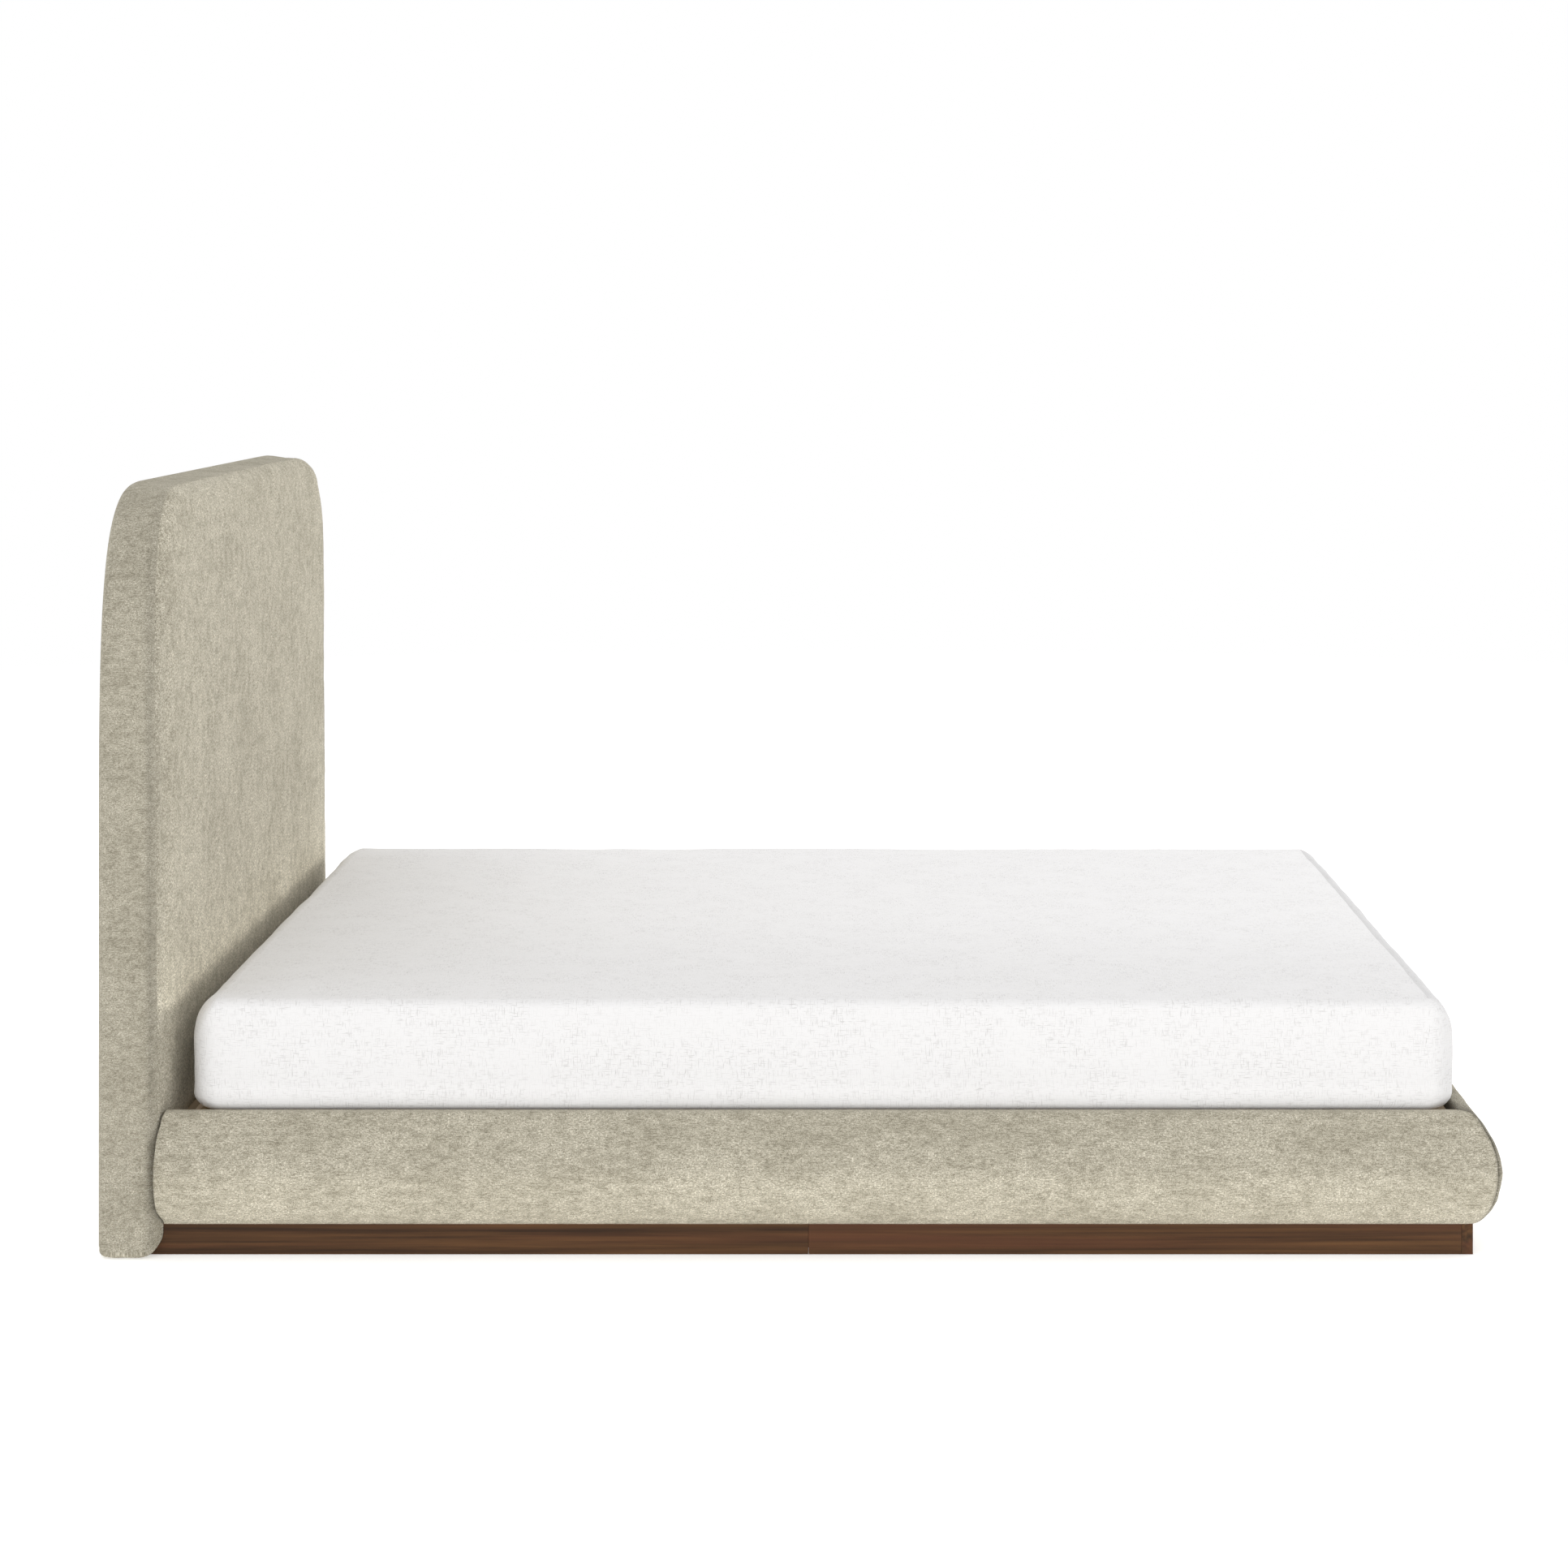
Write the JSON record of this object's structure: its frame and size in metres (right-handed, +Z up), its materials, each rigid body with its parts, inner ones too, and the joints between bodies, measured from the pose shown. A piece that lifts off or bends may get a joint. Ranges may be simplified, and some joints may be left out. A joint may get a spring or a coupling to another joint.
{
  "type": "upholstered platform bed",
  "caption": "Low padded platform bed: rounded headboard to the floor, bulging side and foot rails on a recessed wood plinth, slatted deck and mattress.",
  "frame": {"origin": "on the floor, under the middle of the bed's overall box", "axes": "+X from the headboard to the foot rail, +Y to the right side as seen from the foot, +Z up"},
  "size_m": [2.24, 1.657, 1.23],
  "materials": {
    "upholstery": "matte",
    "foam": "matte",
    "ticking": "matte",
    "walnut": "satin",
    "plywood": "satin",
    "softwood": "matte",
    "nylon": "matte",
    "webbing": "matte",
    "zinc_steel": "satin"
  },
  "bodies": {
    "bed": {"headboard_posts": "softwood", "headboard_crossrails": "softwood", "headboard_rim": "plywood", "headboard_front_panel": "plywood", "headboard_back_panel": "plywood", "headboard_foam": "foam", "headboard_cover": "upholstery", "headboard_back_cloth": "upholstery", "headboard_glides": "nylon", "headboard_bolts": "zinc_steel", "headboard_inserts": "zinc_steel", "side_board_left": "softwood", "side_board_right": "softwood", "side_foam_left": "foam", "side_foam_right": "foam", "side_cover_left": "upholstery", "side_cover_right": "upholstery", "ledger_left": "softwood", "ledger_right": "softwood", "foot_board": "softwood", "foot_foam": "foam", "foot_cover": "upholstery", "head_rail": "softwood", "plinth_left_head": "walnut", "plinth_left_foot": "walnut", "plinth_right_head": "walnut", "plinth_right_foot": "walnut", "plinth_foot": "walnut", "plinth_head_bar": "softwood", "plinth_crossbars": "softwood", "plinth_corner_blocks": "softwood", "plinth_splice_blocks": "softwood", "rail_blocks": "softwood", "centre_beam": "softwood", "beam_brackets": "zinc_steel", "support_legs": "softwood", "leg_dowels": "plywood", "leg_inserts": "zinc_steel", "slats": "plywood", "slat_webbing": "webbing", "corner_brackets": "zinc_steel", "bracket_bolts": "zinc_steel", "bracket_washers": "zinc_steel", "bracket_tnuts": "zinc_steel", "ledger_screws": "zinc_steel", "slat_screws": "zinc_steel", "beam_screws": "zinc_steel"},
    "leveller_head": {"leveller_stud_head": "zinc_steel", "leveller_pad_head": "nylon"},
    "leveller_mid": {"leveller_stud_mid": "zinc_steel", "leveller_pad_mid": "nylon"},
    "leveller_foot": {"leveller_stud_foot": "zinc_steel", "leveller_pad_foot": "nylon"},
    "mattress": {"mattress_base_foam": "foam", "mattress_top_foam": "foam", "mattress_cover": "ticking"}
  },
  "joints": [
    {"name": "mattress_lift", "type": "slide", "parent": "bed", "child": "mattress", "axis": [0, 0, 1], "range_m": [0, 0.3]},
    {"name": "leveller_head_screw", "type": "slide", "parent": "bed", "child": "leveller_head", "axis": [0, 0, 1], "range_m": [-0.008, 0.012]},
    {"name": "leveller_mid_screw", "type": "slide", "parent": "bed", "child": "leveller_mid", "axis": [0, 0, 1], "range_m": [-0.008, 0.012]},
    {"name": "leveller_foot_screw", "type": "slide", "parent": "bed", "child": "leveller_foot", "axis": [0, 0, 1], "range_m": [-0.008, 0.012]}
  ]
}
